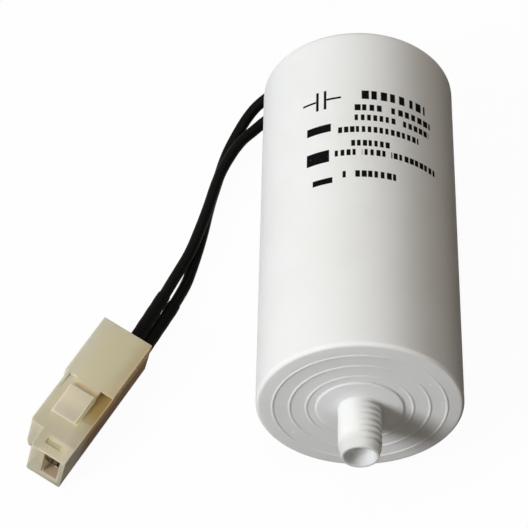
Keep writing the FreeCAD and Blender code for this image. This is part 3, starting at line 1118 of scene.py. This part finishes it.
@dataclass
class Case:
    """Moulded case with its ribbed end, boss and hollow threaded stud, and the resin at its rim.

    Angles are in degrees from the top. A climb is how high the resin stands at a wall or a lead,
    and how far from it that fades.
    """

    radius: float = 19.0
    inner_radius: float = 17.4
    end_y: float = 0.35
    rim_y: float = 77.35
    floor_y: float = 2.95
    resin_y: float = 74.35
    rib_radii: tuple[float, ...] = (9.75, 12.8, 15.9)
    rib_width: float = 0.66
    rib_height: float = 0.18
    boss_radius: float = 8.1
    stud_radius: float = 4.0
    stud_length: float = 10.4
    tip_radius: float = 3.4
    chamfer: float = 2.4
    root_fillet: float = 0.2
    bore_radius: float = 2.9
    bore_floor_radius: float = 1.8
    bore_depth: float = 3.4
    bore_fillet: float = 1.75
    pitch: float = 1.3
    thread_depth: float = 0.56
    bared_side: float = 105.0
    thread_start: float = -0.15
    groove_power: float = 2.4
    thread_step: float = 0.08
    thread_end: float = 0.7
    thread_fades: Pair = (0.5, 0.8)
    unevenness: float = 0.12
    plain_root: float = 0.5
    short_run: float = 0.1
    faint_ribs: Pair = (33.0, 40.0)
    faint_height: float = 0.2
    cone_width: float = 2.6
    edge_drops: Pair = (0.17, 0.72)
    segments: int = 160
    resin_level: float = 0.10
    wall_climb: Pair = (0.75, 0.55)
    lead_climb: Pair = (0.7, 0.6)
    lead_reach: float = 1.05
    resin_swell: float = 0.05
    resin_rings: int = 44
    resin_segments: int = 96
    lead_exits: tuple[Pair, ...] = ((0.0, 0.0), (-3.0, -8.0))

    def rib(self, radius: float) -> list[Point]:
        """Section of one raised ring.

        Args:
            radius: Radius of its middle in millimetres.

        Returns:
            Its (radius, y, fillet) corners, from the inside out.
        """
        foot = self.rib_width / 2
        crest = self.rib_width / 8
        top = self.end_y - self.rib_height
        return [
            (radius - foot, self.end_y, 0.10), (radius - crest, top, 0.08),
            (radius + crest, top, 0.08), (radius + foot, self.end_y, 0.10),
        ]

    def corners(self) -> list[Point]:
        """Corners of the whole section.

        Returns:
            (radius, y, fillet) of each, from the bore's floor to the cavity's floor.
        """
        ribs = [corner for radius in self.rib_radii for corner in self.rib(radius)]
        tip = -self.stud_length
        return [
            (0.0, self.bore_depth + tip, 0.0),
            (self.bore_floor_radius, self.bore_depth + tip, self.bore_fillet),
            (self.bore_radius, tip, 0.16),
            (self.tip_radius, tip, 0.16),
            (self.stud_radius, tip + self.chamfer, 4.0),
            (self.stud_radius, 0.0, self.root_fillet),
            (self.boss_radius, 0.0, 0.3),
            (self.boss_radius, self.end_y, 0.08),
            *ribs,
            (self.radius - self.cone_width, self.end_y, 0.0),
            (self.radius - 0.42, self.end_y + self.edge_drops[0], 0.55),
            (self.radius, self.end_y + self.edge_drops[1], 0.5),
            (self.radius, self.rim_y, 0.7),
            (self.inner_radius, self.rim_y, 0.3),
            (self.inner_radius, self.floor_y, 1.0),
            (0.0, self.floor_y, 0.0),
        ]

    def outline(self) -> list[Pair]:
        """Section of the moulding.

        Returns:
            (radius, y) points, close together along the thread.
        """
        points: list[Pair] = []
        coarse = rounded_profile(self.corners())
        for here, there in zip(coarse, coarse[1:]):
            points.append(here)
            along = abs(there[1] - here[1])
            on_stud = here[1] < -self.plain_root and there[1] < 0.0 and here[0] > self.tip_radius
            if on_stud and along > self.short_run:
                count = int(along / self.thread_step)
                points += [tuple(Vector(here).lerp(Vector(there), step / count)) for step in range(1, count)]
        points.append(coarse[-1])
        return points

    def shaped(self, radius: float, y: float, turn: float) -> Pair:
        """Place on the section after the uneven parts of the moulding are added.

        Args:
            radius: Radius on the plain section in millimetres.
            y: Place along the axis in millimetres.
            turn: Angle round it in radians, from the top.

        Returns:
            Radius and y, with the thread's groove, which is filled in on one side and fades out at
            both ends of the stud, and with ribs that fade out at the upper right.
        """
        if self.boss_radius + 0.5 < radius < self.radius - self.cone_width and y < self.end_y:
            middle, reach = (math.radians(angle) for angle in self.faint_ribs)
            height = self.faint_height + (1 - self.faint_height) * smooth_step(abs(turn - middle) / reach)
            return radius, self.end_y - (self.end_y - y) * height
        if y > self.thread_start or y < -self.stud_length or radius < self.tip_radius:
            return radius, y
        phase = (y / self.pitch - turn / (2 * math.pi)) % 1.0
        groove = (0.5 - 0.5 * math.cos(2 * math.pi * phase)) ** self.groove_power
        fade = smooth_step((self.thread_start - y) / self.thread_fades[0])
        fade *= smooth_step((y + self.stud_length - self.thread_end) / self.thread_fades[1])
        bared = smooth_step((math.cos(turn - math.radians(self.bared_side)) + 0.5) / 1.1)
        uneven = 1 - self.unevenness + self.unevenness * math.sin(turn * 3.0 + y * 1.9)
        return radius - self.thread_depth * groove * fade * bared * uneven, y

    def build(self) -> None:
        """Makes the moulding, and the resin's surface inside its rim."""
        mesh = turned_mesh(self.outline(), self.segments, self.shaped)
        add_piece("case_moulding", mesh, WhiteMoulding().material(), ["case"])
        add_piece("resin_surface", self.resin_skin(), CastResin().material())

    def resin_shape(self, radius: float, y: float, turn: float) -> Pair:
        """Place on the resin, which climbs at the wall and round the leads.

        Args:
            radius: Distance from the axis in millimetres.
            y: Level of the flat resin.
            turn: Angle round the axis in radians.

        Returns:
            Radius and y.
        """
        x, z = radius * math.sin(turn), radius * math.cos(turn)
        height = self.resin_level
        height += self.wall_climb[0] * math.exp((radius - self.inner_radius) / self.wall_climb[1])
        for exit_x, exit_z in self.lead_exits:
            gap = max(0.0, math.hypot(x - exit_x, z - exit_z) - self.lead_reach)
            height += self.lead_climb[0] * math.exp(-gap / self.lead_climb[1])
        return radius, y + height + self.resin_swell * math.sin(x * 0.55 + 1.0) * math.cos(z * 0.43)

    def resin_skin(self) -> Mesh:
        """Open sheet of resin across the case.

        Returns:
            Vertices in millimetres, and faces.
        """
        wall = self.inner_radius - 0.01
        outline = [self.resin_shape(0.0, self.resin_y, 0.0)]
        for ring in range(1, self.resin_rings + 1):
            outline.append((wall * (ring / self.resin_rings) ** 0.85, self.resin_y))
        return turned_mesh(outline, self.resin_segments, self.resin_shape, closed=False)


@dataclass
class Plug:
    """Nylon connector housing, the sleeves that enter it and the contacts inside it."""

    corner_x: float = -48.22
    corner_y: float = 25.28
    table_z: float = -19.0
    heading: float = -117.77
    pitch: float = 0.47
    roll: float = -11.68
    width: float = 10.75
    height: float = 9.13
    length: float = 27.05
    front_length: float = 12.75
    nose_length: float = 4.25
    nose_left: float = 3.35
    inset: float = 0.53
    chamfer: float = 0.8
    corner_radius: float = 0.9
    nose_radius: float = 0.5
    mouth: tuple[float, float, float, float] = (6.45, 9.75, 0.4, 7.3)
    mouth_depth: float = 3.8
    window: Point = (5.3, 8.3, 0.15)
    window_set_back: float = 3.0
    window_length: float = 1.1
    catch: Pair = (2.65, 7.85)
    catch_offset: float = 2.1
    catch_length: float = 6.8
    catch_heights: Pair = (0.65, 0.42)
    step_left: float = 8.15
    step_length: float = 8.8
    step_depth: float = 0.85
    slot: Pair = (1.2, 2.65)
    slot_length: float = 4.5
    slot_depth: float = 0.3
    contact_width: float = 3.2
    contact_height: float = 2.0
    contact_drops: Pair = (2.45, 5.65)
    tunnel_gap: float = 0.08
    pocket_gap: float = 0.06
    pocket_wall: float = 1.5
    crimp_radius: float = 1.35
    wire_radius: float = 1.1
    sleeve_radius: float = 1.35
    sleeve_insert: float = 3.0
    inner_depth: float = 6.06
    straight_run: float = 1.2
    station_gap: float = 0.25
    seam_gap: float = 0.2
    sleeve_segments: int = 28
    lip_length: float = 0.35
    wave_depth: float = 0.04
    edge: float = 0.14
    edge_angle: float = 28.0
    edge_share: float = 0.42
    least_weight: float = 0.1
    edge_facets: int = 3
    overcut: float = 0.3

    def __post_init__(self) -> None:
        """Works out where the plug lies."""
        self.nose_end = self.length + self.nose_length
        self.block_end = self.length - self.front_length
        turn = (Matrix.Rotation(math.radians(self.heading), 3, "Z")
                @ Matrix.Rotation(math.radians(self.pitch), 3, "Y")
                @ Matrix.Rotation(math.radians(self.roll), 3, "X"))
        feet = [Vector((u, v, -self.height)) for u in (0.0, self.nose_end) for v in (0.0, self.width)]
        lowest = min((turn @ foot).z for foot in feet)
        corner = Vector((self.corner_x, self.corner_y, self.table_z - lowest))
        self.frame = Matrix.Translation(corner * MM) @ turn.to_4x4()

    def at(self, u: float, v: float, w: float) -> Vector:
        """Place in metres of a point given in the plug's own axes."""
        return self.frame @ (Vector((u, v, w)) * MM)

    def outline(self) -> list[Pair]:
        """Top view of the housing, with its two rounded corners.

        Returns:
            Its (u, v) points.
        """
        points = [(0.0, 0.0), (self.block_end, 0.0), (self.block_end, self.inset)]
        points += self.quarter(self.length, self.inset, self.corner_radius)
        points += [(self.length, self.nose_left)]
        points += self.quarter(self.nose_end, self.nose_left, self.nose_radius)
        points += [(self.nose_end, self.width), (0.0, self.width)]
        return points

    @staticmethod
    def quarter(u: float, v: float, radius: float, steps: int = 6) -> list[Pair]:
        """Rounded corner between an edge along u and one along v.

        Args:
            u, v: The sharp corner.
            radius: Radius of the rounding.
            steps: Its facets.

        Returns:
            Its (u, v) points, from the first edge to the second.
        """
        places = []
        for step in range(steps + 1):
            turn = math.pi / 2 * step / steps
            places.append((u - radius + radius * math.sin(turn), v + radius - radius * math.cos(turn)))
        return places

    @staticmethod
    def prism(name: str, section: Sequence[Vector], along: Vector) -> Thing:
        """Solid made by moving a flat section along a vector.

        Args:
            name: Its name.
            section: Points of the section, in millimetres.
            along: The way it is moved.

        Returns:
            The object.
        """
        count = len(section)
        vertices = [tuple(point) for point in section] + [tuple(point + along) for point in section]
        faces = [tuple(range(count)), tuple(range(count, 2 * count))]
        return add_mesh(name, vertices, faces + ring_faces(0, 2, count))

    def block(self, name: str, us: Pair, vs: Pair, ws: Pair) -> Thing:
        """Box between two values along each of the plug's axes."""
        return self.wedge(name, [(us[0], ws[0]), (us[1], ws[0]), (us[1], ws[1]), (us[0], ws[1])], vs)

    def wedge(self, name: str, profile: Sequence[Pair], vs: Pair) -> Thing:
        """Solid with a (u, w) outline between two values of v."""
        section = [Vector((u, vs[0], w)) for u, w in profile]
        return self.prism(name, section, Vector((0.0, vs[1] - vs[0], 0.0)))

    def notch(self, name: str, length: float, depth: float, vs: Pair) -> Thing:
        """Cutter that is deep at the front of the rear block and runs out towards the nose."""
        start, end, over = self.block_end, self.block_end + length, self.overcut
        return self.wedge(name, [(start, over), (start, -depth), (end, 0.0), (end, over)], vs)

    def pocket(self) -> tuple[Pair, Pair]:
        """Room for the sleeves behind the rear face.

        Returns:
            Its ranges along v and along w.
        """
        sides = self.sleeve_radius + self.pocket_gap
        reach = self.crimp_radius + self.pocket_gap
        upper, lower = self.contact_drops
        places = [lead.outer[0] for lead in LEADS]
        return (min(places) - sides, max(places) + sides), (-lower - reach, -upper + reach)

    def cutters(self) -> list[Thing]:
        """Makes everything that is cut from the housing.

        Returns:
            The cutting solids.
        """
        over = self.overcut
        deep = -self.height - over
        back = self.nose_end - self.mouth_depth
        inner = self.block_end - self.pocket_wall
        window = self.nose_end - self.window_set_back
        window_left, window_right, window_depth = self.window
        left, right, top, bottom = self.mouth
        made = [
            self.prism("cut_chamfer", [
                Vector((self.block_end, self.inset - over, deep + self.chamfer + 2 * over)),
                Vector((self.block_end, self.inset + self.chamfer + over, deep)),
                Vector((self.block_end, self.inset - over, deep)),
            ], Vector((self.front_length + over, 0.0, 0.0))),
            self.notch("cut_step", self.step_length, self.step_depth, (self.step_left, self.width + over)),
            self.notch("cut_slot", self.slot_length, self.slot_depth, self.slot),
            self.block("cut_mouth", (back, self.nose_end + over), (left, right), (-bottom, -top)),
            self.block("cut_window", (window, window + self.window_length), (window_left, window_right),
                       (-window_depth, over)),
            self.block("cut_pocket", (-over, inner), *self.pocket()),
        ]
        half_width = self.contact_width / 2 + self.tunnel_gap
        half_height = self.contact_height / 2 + self.tunnel_gap
        centre = (left + right) / 2
        for index, drop in enumerate(self.contact_drops):
            made.append(self.block(f"cut_tunnel_{index}", (inner - over, back + over),
                                   (centre - half_width, centre + half_width),
                                   (-drop - half_height, -drop + half_height)))
        return made

    @staticmethod
    def carve(body: Thing, tool: Thing, carving: Carving) -> None:
        """Changes a solid by another one, which is removed.

        Args:
            body: The solid that changes.
            tool: The solid that changes it.
            carving: What happens.
        """
        modifier = body.modifiers.new("carve", "BOOLEAN")
        modifier.operation = carving.value
        modifier.solver = "EXACT"
        modifier.object = tool
        apply_modifiers(body)
        bpy.data.objects.remove(tool)

    def soften(self, body: Thing) -> None:
        """Rounds the housing's edges, each as far as its neighbours leave room.

        Args:
            body: The housing.
        """
        bm = bmesh.new()
        bm.from_mesh(body.data)
        bmesh.ops.remove_doubles(bm, verts=bm.verts, dist=1e-4)
        bmesh.ops.dissolve_limit(bm, angle_limit=math.radians(1.0), verts=bm.verts, edges=bm.edges)
        weight = bm.edges.layers.float.new("bevel_weight_edge")
        for edge in bm.edges:
            if len(edge.link_faces) == 2 and edge.calc_face_angle() > math.radians(self.edge_angle):
                near = min(other.calc_length() for end in edge.verts for other in end.link_edges)
                edge[weight] = max(self.least_weight, min(1.0, self.edge_share * near / self.edge))
        bm.to_mesh(body.data)
        bm.free()
        bevel = body.modifiers.new("soft_edges", "BEVEL")
        bevel.limit_method = "WEIGHT"
        bevel.width = self.edge
        bevel.segments = self.edge_facets
        bevel.use_clamp_overlap = False
        bevel.harden_normals = False
        apply_modifiers(body)

    def housing(self) -> Mesh:
        """Makes the housing.

        Returns:
            Vertices in millimetres in the model's frame, and faces.
        """
        body = self.prism("housing_blank", [Vector((u, v, -self.height)) for u, v in self.outline()],
                          Vector((0.0, 0.0, self.height)))
        start = self.block_end + self.catch_offset
        end = start + self.catch_length
        rear, front = self.catch_heights
        latch = self.wedge("latch", [(start, -self.step_depth), (start, rear), (end, front),
                                     (end, -self.step_depth)], self.catch)
        for tool in self.cutters():
            self.carve(body, tool, Carving.CUT)
        self.carve(body, latch, Carving.JOIN)
        self.soften(body)
        vertices = [tuple(self.at(*vertex.co) / MM) for vertex in body.data.vertices]
        faces = [tuple(polygon.vertices) for polygon in body.data.polygons]
        bpy.data.objects.remove(body)
        return vertices, faces

    def sleeve(self, lead: Lead) -> Mesh:
        """Mesh of a lead's sleeve, with a thin rolled lip and slight waves where it has shrunk.

        Args:
            lead: The lead.

        Returns:
            Vertices in millimetres, and faces.
        """
        start = lead.points()[-1]
        entry = self.at(0.0, *lead.outer)
        back = (start - entry).normalized() * self.straight_run * MM
        into = (self.at(self.inner_depth, *lead.inner) - entry).normalized()
        end = entry + into * self.sleeve_insert * MM
        line = spline_line([start, entry + back, entry, entry + into * self.straight_run * MM, end])
        shared = [point for point in spline_line(lead.points())
                  if self.seam_gap < (point - start).length / MM < lead.overlap]
        line = shared + line
        stations: list[Vector] = []
        for here, there in zip(line, line[1:]):
            count = max(1, round((there - here).length / (self.station_gap * MM)))
            stations += [here.lerp(there, step / count) for step in range(count)]
        stations.append(line[-1])
        radii = []
        for station in stations:
            travelled = (station - stations[0]).length / MM
            lip = min(1.0, travelled / self.lip_length) ** 0.5
            wave = 0.5 + 0.5 * math.sin(travelled * 1.7 + 1.0)
            swell = (self.sleeve_radius - self.wire_radius - self.wave_depth * wave) * lip
            radii.append((self.wire_radius + swell) * MM)
        return swept_mesh(stations, radii, self.sleeve_segments)

    def build(self) -> None:
        """Makes the housing and the sleeves, and dresses what shows of the contacts."""
        add_piece("housing_moulding", self.housing(), NaturalNylon(self.frame).material(),
                  ["connector_housing"], 50.0)
        dull = BlackVinyl("shrunk_sleeve", roughness=0.5, relief=0.035, grain=0.9).material()
        copper = BareMetal("copper_strands", (0.72, 0.36, 0.20), (0.45, 0.20, 0.10), 0.3, 0.25, 0.03,
                           (0.15, 1.0, 1.0)).material()
        vinyl = BlackVinyl("tip_insulation").material()
        brass = ContactBrass(self.frame).material()
        for lead in LEADS:
            name = lead.name
            add_piece(f"sleeve_{name}_tube", self.sleeve(lead), dull, [f"sleeve_{name}"])
            dress_node(f"contact_{name}", brass)
            dress_node(f"conductor_end_{name}", copper)
            dress_node(f"lead_tip_{name}", vinyl)


@dataclass
class Winding:
    """What the resin seals in: the wound film, its core, its sprayed faces and the lead roots."""

    def build(self) -> None:
        """Dresses every node inside the case."""
        zinc = BareMetal("sprayed_zinc", (0.46, 0.47, 0.48), (0.30, 0.31, 0.32), 0.6, 0.18, 0.08).material()
        tin = BareMetal("tin_solder", (0.66, 0.67, 0.68), (0.50, 0.51, 0.52), 0.2, 1.2, 0.03).material()
        vinyl = BlackVinyl("root_insulation").material()
        dress_node("film_winding", WoundFilm().material())
        dress_node("winding_core", PlainTube().material())
        dress_node("resin_fill", CastResin().material())
        for node in ("end_spray_inner", "end_spray_outer"):
            dress_node(node, zinc)
        for node in ("solder_inner", "solder_outer"):
            dress_node(node, tin)
        for node in ("lead_root_a", "lead_root_b"):
            dress_node(node, vinyl)


def main() -> None:
    """Builds the studio and every sub-assembly."""
    logging.basicConfig(level=logging.INFO, format="%(name)s: %(message)s")
    Studio().build()
    Plug().build()
    insulation = BlackVinyl("black_insulation").material()
    for lead in LEADS:
        lead.build(insulation)
    Case().build()
    Winding().build()


if __name__ == "__main__":
    main()
